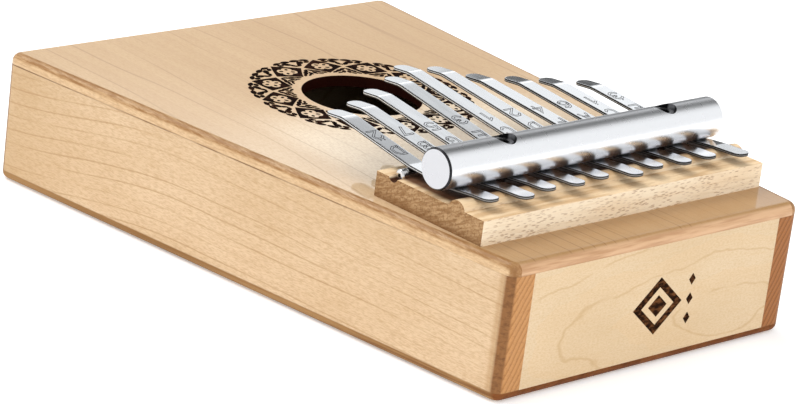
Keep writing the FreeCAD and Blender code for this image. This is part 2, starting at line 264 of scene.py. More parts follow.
def add_light():
    """White sky with dark and bright bands on its far side, and two soft lamps."""
    world = bpy.data.worlds.new("studio")
    scene.world = world
    world.use_nodes = True
    sky = Nodes(world.node_tree)
    x, y, z = sky.split(sky.new("TexCoord").outputs["Generated"])
    across = sky.times(sky.sum(x, y), 0.7)
    far = sky.ease(across, 0.33, 0.62)
    rightward = sky.ease(sky.calc("SUBTRACT", x, y), -0.03, -0.01)
    low_dark = sky.times(sky.ease(z, 0.20, 0.235, -0.88, 0.0), rightward)
    dip = sky.times(sky.ease(z, 0.265, 0.285, 0.0, -0.15), sky.ease(z, 0.305, 0.325, 1.0, 0.0))
    softbox = sky.times(sky.ease(z, 0.300, 0.330, 0.0, 0.85), sky.ease(z, 0.36, 0.395, 1.0, 0.06))
    high_dark = sky.ease(z, 0.475, 0.56, 0.0, -1.0)
    change = sky.sum(sky.sum(low_dark, dip), sky.sum(softbox, high_dark))
    level = sky.sum(1.0, sky.times(far, change))
    tinted = sky.new("CombineColor")
    for tint, socket in zip((0.97, 0.99, 1.0), tinted.inputs):
        sky.feed(sky.times(level, tint), socket)
    background = sky.tree.nodes["Background"]
    sky.feed(tinted.outputs[0], background.inputs["Color"])
    background.inputs["Strength"].default_value = 0.95

    # name, place and energy of each lamp; both aim at the origin
    lamps = (
        ("key_lamp", (-0.2, 0.8, 1.3), 11.0),
        ("fill_lamp", (-0.5, -1.1, 0.8), 3.4),
    )
    for name, place, energy in lamps:
        lamp = bpy.data.lights.new(name, "AREA")
        lamp.shape = "RECTANGLE"
        lamp.size = 1.0
        lamp.size_y = 0.8
        lamp.energy = energy
        lamp.color = (1.0, 0.99, 0.97)
        holder = bpy.data.objects.new(name, lamp)
        holder.location = place
        holder.rotation_mode = "QUATERNION"
        holder.rotation_quaternion = holder.location.to_track_quat("Z", "Y")
        scene.collection.objects.link(holder)
    scene.view_settings.view_transform = "Standard"


# ------------ places on the frame

HOLE_FROM_NEAR = 118.8 * MM
HOLE_RADIUS = 17.4 * MM
RIDGE_FROM_BLOCK_FRONT = 10.1 * MM

top_low, top_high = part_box("top_board")
panel_low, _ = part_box("near_end_panel")
block_low, block_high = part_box("bridge_block")
rod_low, rod_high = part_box("bridge_rod")
bar_low, bar_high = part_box("pressure_bar")
hole_centre = Vector((0.0, cad_low.y + HOLE_FROM_NEAR, 0.0))
board_top = top_high.z
bar_y = (bar_low.y + bar_high.y) / 2
rod_y = (rod_low.y + rod_high.y) / 2
ridge_y = block_low.y + RIDGE_FROM_BLOCK_FRONT

# ------------ wood


SEAM_BROWN = (0.13, 0.055, 0.02)
LACQUER = 0.6


def fine_grain(shader, fibre, figure):
    """Darkening from 0 to 1 by fibres and by the soft clouds of the figure."""
    fibres = shader.ease(shader.noise(fibre, 4.0, 0.6), 0.42, 0.72)
    clouds = shader.ease(shader.noise(figure, 2.0, 0.5, 3.0), 0.3, 0.75)
    return fibres, clouds


def speckled(shader, colour, dark, scales, amount):
    """Colour with the fine flecks of planed maple over it, and the flecks' height."""
    flecks = shader.ease(shader.noise(scales, 3.0, 0.65, 7.0), 0.40, 0.66)
    return shader.mix(shader.times(flecks, amount), colour, dark), flecks


def patchy_seam(shader, line):
    """Share of a glue seam's darkness, broken up, and faint towards the near end."""
    fading = shader.ease(shader.y, cad_low.y + 15.0 * MM, cad_low.y + 80.0 * MM, 0.25, 1.0)
    patches = shader.ease(shader.noise((120, 60, 120)), 0.35, 0.6, 0.35, 0.9)
    return shader.times(line, fading, patches)


def top_board_wood():
    """Tan maple with thin growth lines along the box, under clear gloss lacquer."""
    shader = Shader("maple_sound_board")
    across, along, up = shader.normal()
    wander = shader.times(shader.noise((22, 3, 22), 3.0), 5.5)
    rings = shader.sum(shader.times(shader.x, 90.0), wander)
    presence = shader.ease(shader.noise((70, 7, 70)), 0.36, 0.60)
    ring_line = shader.times(shader.lines(rings, 0.05), presence)
    band = shader.ease(shader.calc("FRACT", rings), 0.0, 1.0)
    fibres, clouds = fine_grain(shader, (1500, 55, 1500), (35, 9, 35))
    colour = shader.mix(clouds, (0.635, 0.425, 0.225), (0.575, 0.372, 0.185))
    colour = shader.mix(shader.times(band, 0.30), colour, (0.54, 0.335, 0.17))
    colour = shader.mix(shader.times(fibres, 0.25), colour, (0.50, 0.28, 0.12))
    # painted light: paler board under and between the tongues, lifting the shade they cast
    painted_light_under_tongues = shader.times(
        shader.ease(shader.y, block_low.y + 2.0 * MM, block_low.y + 10.0 * MM),
        shader.ease(shader.y, hole_centre.y - 30.0 * MM, hole_centre.y + 8.0 * MM, 0.75, 0.0),
        shader.ease(shader.calc("ABSOLUTE", shader.x), 38.0 * MM, 52.0 * MM, 1.0, 0.35),
    )
    colour = shader.mix(painted_light_under_tongues, colour, (0.95, 0.80, 0.60))
    colour = shader.mix(shader.times(ring_line, 0.42), colour, (0.30, 0.155, 0.06))
    colour, flecks = speckled(shader, colour, (0.46, 0.25, 0.10), (2400, 700, 2400), 0.30)
    # painted shade and reflection of the bridge block darken the strip ahead of it; close grain lines run
    # through that strip
    ahead = shader.ease(shader.y, block_low.y - 1.0 * MM, block_low.y + 1.0 * MM, 0.7, 0.0)
    colour = shader.mix(ahead, colour, (0.36, 0.19, 0.07))
    close_rings = shader.sum(shader.times(shader.x, 240.0), shader.times(wander, 0.6))
    front_line = shader.times(shader.lines(close_rings, 0.09), ahead, presence, 0.75)
    colour = shader.mix(front_line, colour, (0.20, 0.09, 0.03))
    # end grain, rounded rim and its browned shoulder
    front = shader.ease(shader.times(along, -1.0), 0.35, 0.8)
    back = shader.ease(along, 0.35, 0.8)
    end_grain = shader.calc("MAXIMUM", front, back)
    streaks = shader.ease(shader.noise((70, 300, 1100), 3.0), 0.35, 0.65)
    edge = shader.mix(streaks, (0.66, 0.40, 0.22), (0.50, 0.27, 0.13))
    colour = shader.mix(end_grain, colour, edge)
    steep = shader.calc("ABSOLUTE", across)
    side = shader.ease(steep, 0.25, 0.8)
    rim = shader.mix(fibres, (0.70, 0.475, 0.265), (0.56, 0.345, 0.17))
    rim, _ = speckled(shader, rim, (0.36, 0.19, 0.08), (2000, 650, 2600), 0.35)
    colour = shader.mix(side, colour, rim)
    shoulder = shader.times(shader.ease(steep, 0.02, 0.12), shader.ease(steep, 0.82, 0.95, 1.0, 0.0))
    broken = shader.ease(shader.noise((900, 120, 900), 4.0, 0.75), 0.34, 0.60)
    browning = shader.times(shoulder, shader.sum(shader.times(broken, 0.55), 0.40))
    colour = shader.mix(browning, colour, (0.30, 0.145, 0.05))
    corner = shader.times(shader.ease(steep, 0.3, 0.6), end_grain)
    colour = shader.mix(shader.times(corner, 0.8), colour, (0.27, 0.125, 0.045))
    seam = shader.ease(shader.z, top_low.z + 0.05 * MM, top_low.z + 0.32 * MM, 0.9, 0.0)
    seam = patchy_seam(shader, seam)
    colour = shader.mix(seam, colour, SEAM_BROWN)
    # scorched wall of the sound hole, and painted shade on the underside inside the box
    from_hole = shader.distance(shader.x, shader.sum(shader.y, -hole_centre.y))
    inside = shader.ease(from_hole, HOLE_RADIUS + 0.02 * MM, HOLE_RADIUS + 0.10 * MM, 1.0, 0.0)
    scorch = shader.mix(shader.noise((400, 400, 90)), (0.010, 0.0015, 0.0006), (0.030, 0.005, 0.002))
    colour = shader.mix(inside, colour, scorch)
    # painted shade on the downward faces inside the box
    under = shader.ease(up, -0.6, -0.3, 1.0, 0.0)
    colour = shader.mix(under, colour, (0.05, 0.02, 0.01))
    shader.bump(shader.sum(fibres, flecks, shader.times(ring_line, 0.6)), 0.00002, 0.4)
    material = shader.finish(colour, 0.42, coat_roughness=0.035, specular=0.1)
    # the lacquer is missing in the hole and the seam and thin on the shoulder
    bare = shader.calc("MAXIMUM", inside, seam)
    bare = shader.calc("MAXIMUM", bare, shader.times(shoulder, 0.75))
    lacquer = shader.calc("SUBTRACT", LACQUER, shader.times(bare, LACQUER))
    shader.feed(lacquer, shader.surface.inputs["Coat Weight"])
    return material


def side_board_wood():
    """Tan maple, darker on the rounded corners, with slanting lines on its end grain."""
    shader = Shader("maple_side_board")
    _, along, _ = shader.normal()
    wander = shader.times(shader.noise((10, 3, 12), 3.0), 6.5)
    arch = shader.ease(shader.y, cad_high.y - 80.0 * MM, cad_high.y, 0.0, 2.5)
    rings = shader.sum(shader.times(shader.z, 290.0), shader.times(shader.y, -12.0), wander, arch)
    presence = shader.ease(shader.noise((60, 14, 160)), 0.34, 0.60)
    ring_line = shader.times(shader.lines(rings, 0.09), presence)
    fibres, clouds = fine_grain(shader, (900, 70, 1300), (60, 22, 60))
    colour = shader.mix(clouds, (0.72, 0.525, 0.335), (0.66, 0.465, 0.28))
    colour = shader.mix(shader.times(fibres, 0.22), colour, (0.52, 0.315, 0.15))
    colour = shader.mix(shader.times(ring_line, 0.55), colour, (0.38, 0.205, 0.08))
    colour, flecks = speckled(shader, colour, (0.40, 0.215, 0.085), (2600, 520, 3400), 0.38)
    far_end = shader.ease(shader.y, cad_high.y - 40.0 * MM, cad_high.y - 6.0 * MM, 0.0, 0.35)
    colour = shader.mix(far_end, colour, (0.46, 0.28, 0.12))
    # end grain in slanting stripes, redder on the right board
    slant = shader.sum(shader.times(shader.x, 560.0), shader.times(shader.z, -300.0))
    slant = shader.sum(slant, shader.times(shader.noise((40, 40, 40)), 2.2))
    stripe = shader.ease(shader.calc("FRACT", slant), 0.35, 1.0)
    pores = shader.ease(shader.noise((1400, 1400, 1400), 2.0), 0.52, 0.7)
    end = shader.mix(stripe, (0.54, 0.265, 0.10), (0.40, 0.18, 0.06))
    end = shader.mix(shader.times(pores, 0.35), end, (0.28, 0.11, 0.04))
    redder = shader.mix(stripe, (0.36, 0.137, 0.04), (0.23, 0.08, 0.02))
    end = shader.mix(shader.ease(shader.x, -0.01, 0.01), end, redder)
    # brown on the rounded corners
    turned = shader.calc("ABSOLUTE", along)
    corner_brown = shader.mix(fibres, (0.27, 0.12, 0.042), (0.17, 0.07, 0.024))
    corner_brown, _ = speckled(shader, corner_brown, (0.16, 0.06, 0.02), (800, 800, 500), 0.3)
    near_end = shader.ease(shader.y, cad_low.y + 3.3 * MM, cad_low.y + 5.0 * MM, 0.5, 0.0)
    colour = shader.mix(near_end, colour, (0.42, 0.23, 0.095))
    colour = shader.mix(shader.ease(turned, 0.12, 0.40), colour, corner_brown)
    colour = shader.mix(shader.ease(turned, 0.86, 0.97), colour, end)
    # dark seams under the sound board and on the bottom board
    seam = shader.ease(shader.z, top_low.z - 0.30 * MM, top_low.z - 0.05 * MM, 0.0, 0.9)
    colour = shader.mix(patchy_seam(shader, seam), colour, SEAM_BROWN)
    foot = shader.ease(shader.z, panel_low.z + 0.05 * MM, panel_low.z + 0.3 * MM, 0.55, 0.0)
    colour = shader.mix(foot, colour, (0.22, 0.10, 0.035))
    shader.bump(shader.sum(fibres, flecks), 0.00004, 0.7)
    return shader.finish(colour, 0.45, coat=0.08, coat_roughness=0.15, specular=0.12)


def panel_wood():
    """Pale flat-sawn maple with long oval growth lines."""
    shader = Shader("maple_end_panel")
    centre_x, centre_z = 26.0 * MM, 12.0 * MM
    off_x = shader.times(shader.sum(shader.x, -centre_x), 30.0)
    off_z = shader.times(shader.sum(shader.z, -centre_z), 78.0)
    bow = shader.times(shader.calc("POWER", off_x, 2.0), 0.55)
    spread = shader.calc("SQRT", shader.sum(bow, shader.calc("POWER", off_z, 2.0), 0.05))
    wander = shader.times(shader.noise((38, 38, 55), 3.0), 1.3)
    rings = shader.sum(shader.times(spread, 1.5), wander)
    presence = shader.ease(shader.noise((70, 70, 90)), 0.3, 0.5)
    ring_line = shader.times(shader.lines(rings, 0.05), presence)
    warm = shader.ease(shader.calc("FRACT", rings), 0.0, 1.0)
    fibres, clouds = fine_grain(shader, (180, 900, 1100), (30, 30, 60))
    colour = shader.mix(clouds, (0.71, 0.545, 0.36), (0.66, 0.49, 0.305))
    colour = shader.mix(shader.times(warm, 0.18), colour, (0.74, 0.50, 0.27))
    colour = shader.mix(shader.times(fibres, 0.20), colour, (0.62, 0.42, 0.21))
    colour = shader.mix(shader.times(ring_line, 0.42), colour, (0.49, 0.295, 0.125))
    colour, flecks = speckled(shader, colour, (0.50, 0.31, 0.135), (1100, 2600, 2800), 0.30)
    shader.bump(shader.sum(fibres, flecks), 0.00003, 0.5)
    return shader.finish(colour, 0.45, coat=0.08, coat_roughness=0.15, specular=0.12)


def bottom_wood():
    """Board that is reddish brown on its ends and tan along its sides, with painted shade making its
    inner face nearly black.
    """
    shader = Shader("bottom_board")
    _, along, up = shader.normal()
    fibres, clouds = fine_grain(shader, (500, 90, 1500), (60, 15, 60))
    ends = shader.mix(clouds, (0.22, 0.075, 0.022), (0.14, 0.042, 0.012))
    ends = shader.mix(shader.times(fibres, 0.5), ends, (0.07, 0.02, 0.006))
    sides = shader.mix(clouds, (0.38, 0.215, 0.09), (0.28, 0.145, 0.055))
    streaks = shader.ease(shader.noise((200, 30, 900), 3.0, 0.6), 0.40, 0.62)
    redness = shader.ease(shader.y, cad_low.y, cad_high.y - 30.0 * MM, 0.85, 0.15)
    sides = shader.mix(shader.times(streaks, redness), sides, (0.20, 0.085, 0.03))
    turned = shader.ease(shader.calc("ABSOLUTE", along), 0.15, 0.6)
    colour = shader.mix(turned, sides, ends)
    # painted shade: the upward inner face, inside the box, is nearly black
    inner = shader.mix(clouds, (0.004, 0.0012, 0.001), (0.007, 0.002, 0.0015))
    colour = shader.mix(shader.ease(up, 0.5, 0.8), colour, inner)
    shader.bump(fibres, 0.00003, 0.6)
    return shader.finish(colour, 0.6, coat=0.03, coat_roughness=0.2, specular=0.06)


END_FIBRE_SLANT = math.radians(24)


def block_wood():
    """Pale open-pored wood: pores on its front, fibrous browner ends, painted shade under the bar."""
    shader = Shader("bridge_block_wood")
    across, _, up = shader.normal()
    pores = shader.ease(shader.cells((420, 1100, 2300)), 0.22, 0.42, 1.0, 0.0)
    patches = shader.ease(shader.noise((90, 200, 240), 2.0), 0.35, 0.6, 0.45, 1.0)
    fewer_on_top = shader.ease(up, 0.2, 0.7, 1.0, 0.25)
    pores = shader.times(pores, patches, fewer_on_top)
    fibres, clouds = fine_grain(shader, (90, 1500, 1500), (22, 120, 120))
    colour = shader.mix(clouds, (0.97, 0.83, 0.63), (0.90, 0.71, 0.49))
    colour = shader.mix(shader.times(fibres, 0.25), colour, (0.70, 0.47, 0.25))
    upper = shader.ease(up, 0.2, 0.7)
    grain = shader.ease(shader.noise((45, 420, 420), 3.0), 0.35, 0.65)
    top_tone = shader.mix(grain, (0.88, 0.65, 0.40), (0.62, 0.38, 0.18))
    colour = shader.mix(shader.times(upper, 0.85), colour, top_tone)
    colour = shader.mix(shader.times(pores, 0.62), colour, (0.34, 0.155, 0.055))
    # painted shade between the ridge and the rod, under the bar
    behind = shader.ease(shader.y, ridge_y - 2.0 * MM, ridge_y + 2.0 * MM)
    ahead = shader.ease(shader.y, rod_y + 1.5 * MM, rod_y + 3.0 * MM, 1.0, 0.0)
    middle = shader.ease(shader.calc("ABSOLUTE", shader.x), 50.5 * MM, 53.0 * MM, 1.0, 0.0)
    shade = shader.times(behind, ahead, middle, upper, 0.92)
    colour = shader.mix(shade, colour, (0.085, 0.022, 0.007))
    # fibres that slant across the two end faces
    cosine, sine = math.cos(END_FIBRE_SLANT), math.sin(END_FIBRE_SLANT)
    run = shader.sum(shader.times(shader.y, cosine), shader.times(shader.z, -sine))
    rise = shader.sum(shader.times(shader.y, sine), shader.times(shader.z, cosine))
    fibre_place = shader.join(shader.times(run, 260.0), shader.times(rise, 1250.0), 0.0)
    threads = shader.ease(shader.noise_at(fibre_place, 4.0, 0.65), 0.36, 0.64)
    speck = shader.noise((1300, 1300, 1300), 3.0, 0.6)
    end = shader.mix(threads, (0.50, 0.31, 0.155), (0.29, 0.15, 0.06))
    end = shader.mix(shader.ease(speck, 0.48, 0.65, 0.0, 0.6), end, (0.20, 0.095, 0.035))
    # painted shade along the foot of the end faces, where they meet the sound board
    low = shader.ease(shader.z, block_low.z, block_low.z + 3.0 * MM, 0.6, 0.0)
    end = shader.mix(low, end, (0.22, 0.105, 0.04))
    face = shader.ease(shader.calc("ABSOLUTE", across), 0.6, 0.85)
    colour = shader.mix(face, colour, end)
    # painted shade in the rod's groove
    from_rod = shader.calc("ABSOLUTE", shader.sum(shader.y, -rod_y))
    in_groove = shader.ease(from_rod, 1.55 * MM, 1.9 * MM, 1.0, 0.0)
    deep = shader.ease(shader.z, board_top + 6.3 * MM, board_top + 6.85 * MM, 1.0, 0.0)
    bare = shader.calc("SUBTRACT", 1.0, face)
    colour = shader.mix(shader.times(in_groove, deep, bare), colour, (0.06, 0.02, 0.008))
    shader.bump(shader.sum(pores, shader.times(speck, 0.6), fibres), 0.00008, 0.7)
    return shader.finish(colour, 0.6, coat=0.03, coat_roughness=0.3, specular=0.12)


def burnt_wood(name, dark, light):
    """Wood scorched by a laser, matt, its grain still showing."""
    shader = Shader(name)
    streaks = shader.ease(shader.noise((420, 160, 900), 3.0, 0.6), 0.42, 0.68)
    colour = shader.mix(streaks, dark, light)
    shader.bump(streaks, 0.00004, 0.7)
    return shader.finish(colour, 0.9, specular=0.03)


# ------------ metal


def bar_metal():
    """Satin aluminium, with a painted dark reflection along its back and painted shade on its bevels."""
    shader = Shader("satin_aluminium")
    across, along, _ = shader.normal()
    satin = shader.noise((900, 300, 300), 3.0, 0.6)
    tone = shader.mix(satin, (0.95, 0.95, 0.965), (0.925, 0.925, 0.945))
    # painted dark reflection along the back of the bar
    painted_back_reflection = shader.times(shader.ease(along, -0.5, 0.1), shader.ease(along, 0.55, 0.85, 1.0, 0.0))
    tone = shader.mix(shader.times(painted_back_reflection, 0.8), tone, (0.20, 0.20, 0.215))
    facing = shader.calc("ABSOLUTE", across)
    # painted shade on the bevels
    painted_chamfer_shade = shader.times(shader.ease(facing, 0.2, 0.45), shader.ease(facing, 0.88, 0.97, 1.0, 0.0))
    tone = shader.mix(painted_chamfer_shade, tone, (0.03, 0.03, 0.033))
    tone = shader.mix(shader.ease(facing, 0.97, 0.99), tone, (0.56, 0.56, 0.585))
    gloss = shader.ease(satin, 0.2, 0.8, 0.27, 0.29)
    return shader.finish(tone, gloss, metallic=1.0)


def rod_metal():
    """Bright drawn steel with a painted dark spot of shade in the middle of each end."""
    shader = Shader("rod_steel")
    drawn = shader.noise((80, 2400, 2400), 3.0)
    tone = shader.mix(drawn, (0.72, 0.71, 0.70), (0.55, 0.54, 0.54))
    rod_z = (rod_low.z + rod_high.z) / 2
    from_axis = shader.distance(shader.sum(shader.y, -rod_y), shader.sum(shader.z, -rod_z))
    # painted shade: a dark spot in the middle of each end
    painted_dark_centre = shader.ease(from_axis, 0.45 * MM, 0.6 * MM, 1.0, 0.0)
    tone = shader.mix(painted_dark_centre, tone, (0.02, 0.02, 0.02))
    shader.bump(drawn, 0.000004, 0.6)
    return shader.finish(tone, shader.ease(drawn, 0.2, 0.8, 0.12, 0.24), metallic=1.0)


def screw_metal():
    """Dark oiled steel."""
    shader = Shader("screw_steel")
    wear = shader.noise((900, 900, 900), 3.0)
    tone = shader.mix(wear, (0.06, 0.06, 0.065), (0.16, 0.16, 0.165))
    shader.bump(wear, 0.00001, 0.6)
    return shader.finish(tone, shader.ease(wear, 0.2, 0.8, 0.2, 0.4), metallic=1.0)


SHEAR_RIDGE_PITCH = 0.55 * MM


def tongue_metal():
    """Polished spring steel; its finely ridged cut sides are banded with painted reflections, and painted
    shade darkens them at the tails.
    """
    shader = Shader("tongue_steel")
    height = shader.stored("through")
    run = shader.stored("along")
    polish = shader.noise((500, 90, 500), 3.0)
    tone = shader.mix(polish, (0.85, 0.86, 0.88), (0.79, 0.80, 0.825))
    side = shader.ease(height, 0.965, 0.995, 1.0, 0.0)
    ridges = shader.calc("SINE", shader.times(run, 2.0 * math.pi / SHEAR_RIDGE_PITCH))
    ridges = shader.ease(ridges, -0.7, 0.0)
    # painted highlight band on the sides, broken up by the real shear ridges
    ridged_painted_side_band = shader.mix(ridges, (0.45, 0.44, 0.43), (0.95, 0.95, 0.94))
    # painted shade on the tails' sides
    painted_tail_side_shade = shader.ease(run, 20.0 * MM, 27.0 * MM, 1.0, 0.0)
    ridged_painted_side_band = shader.mix(painted_tail_side_shade, ridged_painted_side_band, (0.28, 0.27, 0.26))
    # painted dark reflection on the lower part of the sides
    lower = shader.ease(height, 0.34, 0.42)
    band = shader.mix(lower, (0.02, 0.018, 0.017), ridged_painted_side_band)
    # painted dark reflection on the upper part of the sides, reaching lower on the right-hand tongues
    rightward = shader.ease(shader.x, 0.0, 12.0 * MM, 0.0, 0.14)
    line = shader.ease(shader.sum(height, rightward), 0.60, 0.68)
    band = shader.mix(line, band, (0.012, 0.011, 0.010))
    tone = shader.mix(side, tone, band)
    shader.bump(shader.times(ridges, side), 0.00002, 0.4)
    gloss = shader.sum(shader.ease(polish, 0.2, 0.8, 0.08, 0.14), shader.times(side, 0.3))
    material = shader.finish(tone, gloss, specular=0.3)
    shader.feed(shader.ease(side, 0.0, 1.0, 1.0, 0.15), shader.surface.inputs["Metallic"])
    return material


def stamp_ink():
    """Dark bottom of a stamped groove."""
    shader = Shader("stamped_mark")
    grit = shader.noise((1500, 1500, 1500), 2.0)
    tone = shader.mix(grit, (0.012, 0.012, 0.014), (0.04, 0.04, 0.045))
    return shader.finish(tone, 0.6, specular=0.1)


# ------------ meshes


class Builder:
    """Points and faces of one mesh, gathered part by part."""

    def __init__(self):
        self.points = []
        self.faces = []

    def loop(self, points):
        """Add points and return their indices."""
        first = len(self.points)
        self.points.extend(tuple(point) for point in points)
        return list(range(first, len(self.points)))

    def bridge(self, lower, upper):
        """Quads between two closed loops with the same number of points."""
        count = len(lower)
        for index in range(count):
            following = (index + 1) % count
            self.faces.append((lower[index], lower[following], upper[following], upper[index]))

    def plate(self, outline, place, bottom, top):
        """Flat-topped solid over a 2-D outline; place turns (u, v, height) into a point."""
        lower = self.loop(place(u, v, bottom) for u, v in outline)
        upper = self.loop(place(u, v, top) for u, v in outline)
        self.bridge(lower, upper)
        self.faces.append(tuple(upper))
        self.faces.append(tuple(reversed(lower)))

    def band(self, outer, inner, place, bottom, top):
        """Solid between an outer and an inner 2-D outline with the same number of points."""
        rings = [
            self.loop(place(u, v, height) for u, v in outline)
            for outline, height in ((outer, bottom), (outer, top), (inner, top), (inner, bottom))
        ]
        for index in range(4):
            self.bridge(rings[index], rings[(index + 1) % 4])

    def piece(self, name, material, sharp_degrees=35.0):
        mesh = bpy.data.meshes.new(name)
        mesh.from_pydata(self.points, [], self.faces)
        mesh.validate()
        mesh.materials.append(material)
        for polygon in mesh.polygons:
            polygon.use_smooth = True
        mesh.set_sharp_from_angle(angle=math.radians(sharp_degrees))
        piece = bpy.data.objects.new(name, mesh)
        scene.collection.objects.link(piece)
        return piece


def oval(u, v, half_long, half_wide, tilt_degrees=0.0, count=14):
    """Oval with slightly drawn-in ends, like a leaf, round the place (u, v)."""
    turn = math.radians(tilt_degrees)
    outline = []
    for step in range(count):
        angle = 2 * math.pi * step / count
        long_way = half_long * math.cos(angle)
        wide_way = half_wide * math.sin(angle) * (1.0 - 0.25 * abs(math.cos(angle)))
        outline.append(
            (
                u + long_way * math.cos(turn) - wide_way * math.sin(turn),
                v + long_way * math.sin(turn) + wide_way * math.cos(turn),
            )
        )
    return outline


def lozenge(half_u, half_v, steps=6):
    """Closed lozenge outline round the origin, each side divided into equal steps."""
    corners = [(half_u, 0.0), (0.0, half_v), (-half_u, 0.0), (0.0, -half_v)]
    outline = []
    for index, (u, v) in enumerate(corners):
        next_u, next_v = corners[(index + 1) % 4]
        for step in range(steps):
            share = step / steps
            outline.append((u + (next_u - u) * share, v + (next_v - v) * share))
    return outline


def four_petals(half_u, half_v, corner_size, side_size, steps=6):
    """Lozenge whose corners are drawn in and whose sides swell into petals."""
    outline = []
    for index, (u, v) in enumerate(lozenge(half_u, half_v, steps)):
        swell = math.sin(math.pi * (index % steps) / steps)
        size = corner_size + (side_size - corner_size) * swell
        outline.append((u * size, v * size))
    return outline


# ------------ burnt ornaments

BURN_BOTTOM = -0.01 * MM
BURN_TOP = 0.03 * MM
CELLS = 12
CELL_RADIUS = 26.0 * MM
FLOWER_HALF_ROUND = 6.3 * MM
FLOWER_HALF_OUT = 5.8 * MM


def add_flower(builder, place, half_u, half_v):
    """One dark lozenge with a pale four-petal flower left open and four dark seeds in it."""
    petals = four_petals(half_u, half_v, 0.34, 0.73)
    builder.band(lozenge(half_u, half_v), petals, place, BURN_BOTTOM, BURN_TOP)
    seed_u, seed_v = 0.20 * half_u, 0.21 * half_v
    for sign_u, sign_v in ((1, 1), (-1, 1), (-1, -1), (1, -1)):
        seed = oval(sign_u * seed_u, sign_v * seed_v, 0.11 * half_u, 0.09 * half_v, 40 * sign_u * sign_v)
        builder.plate(seed, place, BURN_BOTTOM, BURN_TOP)


def add_rosette(material):
    """Ring of twelve lozenges round the sound hole, with leaves between them."""
    builder = Builder()

    def around(turn):
        """Places in a cell at this angle: u runs round the ring, v outwards from its middle."""

        def place(u, v, height):
            radius = CELL_RADIUS + v
            angle = turn + u / radius
            return (
                hole_centre.x + radius * math.cos(angle),
                hole_centre.y + radius * math.sin(angle),
                board_top + height,
            )

        return place

    # leaves between two lozenges: place round the ring and outwards, half sizes, tilt
    outer_leaves = [
        (1.80, 6.00, 1.80, 0.95, 4),
        (5.25, 6.00, 1.65, 0.85, -6),
        (2.50, 4.20, 1.75, 1.00, 34),
        (5.00, 4.40, 1.20, 0.75, 25),
        (1.15, 2.70, 1.35, 0.75, 60),
    ]
    inner_leaves = [
        (0.95, -2.65, 1.20, 0.72, -60),
        (2.25, -3.95, 1.40, 0.82, -52),
        (3.55, -5.15, 1.05, 0.62, -40),
        (0.78, -4.75, 1.15, 0.70, -85),
        (2.05, -5.75, 0.95, 0.50, -30),
    ]
    # small upright leaves on the line between two cells: place outwards, half length
    upright_leaves = [(1.95, 0.60), (-1.75, 0.45)]
    step = 2 * math.pi / CELLS
    for cell in range(CELLS):
        turn = step * (cell + 0.5)
        add_flower(builder, around(turn), FLOWER_HALF_ROUND, FLOWER_HALF_OUT)
        between = around(turn + step / 2)
        for u, v, half_long, half_wide, tilt in outer_leaves + inner_leaves:
            for sign in (1, -1):
                leaf = oval(sign * u * MM, v * MM, half_long * MM, half_wide * MM, sign * tilt)
                builder.plate(leaf, between, BURN_BOTTOM, BURN_TOP)
        for v, half_long in upright_leaves:
            leaf = oval(0.0, v * MM, half_long * MM, 0.30 * MM, 90)
            builder.plate(leaf, between, BURN_BOTTOM, BURN_TOP)
    rosette = builder.piece("rosette", material)
    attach(rosette, "sound_box")


def add_panel_ornament(material):
    """Burnt lozenge in a lozenge frame, with three small ones beside it, on the near panel."""
    builder = Builder()

    def on_panel(middle_x, middle_z):
        def place(u, v, height):
            return (middle_x + u, panel_low.y - height, middle_z + v)

        return place

    level = 17.0 * MM
    middle = on_panel(2.0 * MM, level)
    frame_outline, gap_outline = lozenge(9.5 * MM, 8.2 * MM), lozenge(6.3 * MM, 5.4 * MM)
    builder.band(frame_outline, gap_outline, middle, BURN_BOTTOM, BURN_TOP)
    builder.plate(lozenge(3.6 * MM, 3.1 * MM), middle, BURN_BOTTOM, BURN_TOP)
    beside, spacing = 14.6 * MM, 5.6 * MM
    for row in (-1, 0, 1):
        outline = lozenge(1.3 * MM, 1.7 * MM, 1)
        builder.plate(outline, on_panel(beside, level + row * spacing), BURN_BOTTOM, BURN_TOP)
    ornament = builder.piece("panel_ornament", material)
    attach(ornament, "sound_box")


# ------------ tongues

CONTACT_GAP = 0.05 * MM
GAUGE = 0.9 * MM
TAIL_RISE = 0.055
TIP_LENGTH = 7.0 * MM
TIP_FALL = 0.09
TIP_CORNER = 2.3 * MM
TAIL_CORNER = 2.2 * MM
PRESS_BEND = 6.0 * MM
TIP_BEND = 9.0 * MM
EDGE_ROUND = 0.15 * MM
FLAT_INSET = 0.1 * MM
SAMPLE_STEP = 1.1 * MM
ARC_STEPS = 8


def rounded_path(corners, radii, step):
    """Samples (y, z, angle) along straight runs through corners, joined by arcs."""
    samples = [(*corners[0], 0.0)]
    for index in range(1, len(corners) - 1):
        before, corner, after = (Vector(point) for point in corners[index - 1 : index + 2])
        into, out_of = (corner - before).normalized(), (after - corner).normalized()
        start_angle, end_angle = math.atan2(into.y, into.x), math.atan2(out_of.y, out_of.x)
        turn = end_angle - start_angle
        radius = radii[index - 1]
        reach = radius * math.tan(abs(turn) / 2)
        here = corner - into * reach
        side = Vector((-into.y, into.x)) * math.copysign(1.0, turn)
        for arc in range(ARC_STEPS + 1):
            angle = start_angle + turn * arc / ARC_STEPS
            swept = abs(turn) * arc / ARC_STEPS
            spot = here + into * (radius * math.sin(swept)) + side * (radius * (1 - math.cos(swept)))
            samples.append((spot.x, spot.y, angle))
    samples.append((*corners[-1], samples[-1][2]))
    samples[0] = (*corners[0], samples[1][2])
    dense = [samples[0]]
    for sample in samples[1:]:
        last = dense[-1]
        gap = math.dist(last[:2], sample[:2])
        pieces = max(1, math.ceil(gap / step))
        for part in range(1, pieces + 1):
            share = part / pieces
            dense.append(tuple(a + (b - a) * share for a, b in zip(last, sample)))
    return dense


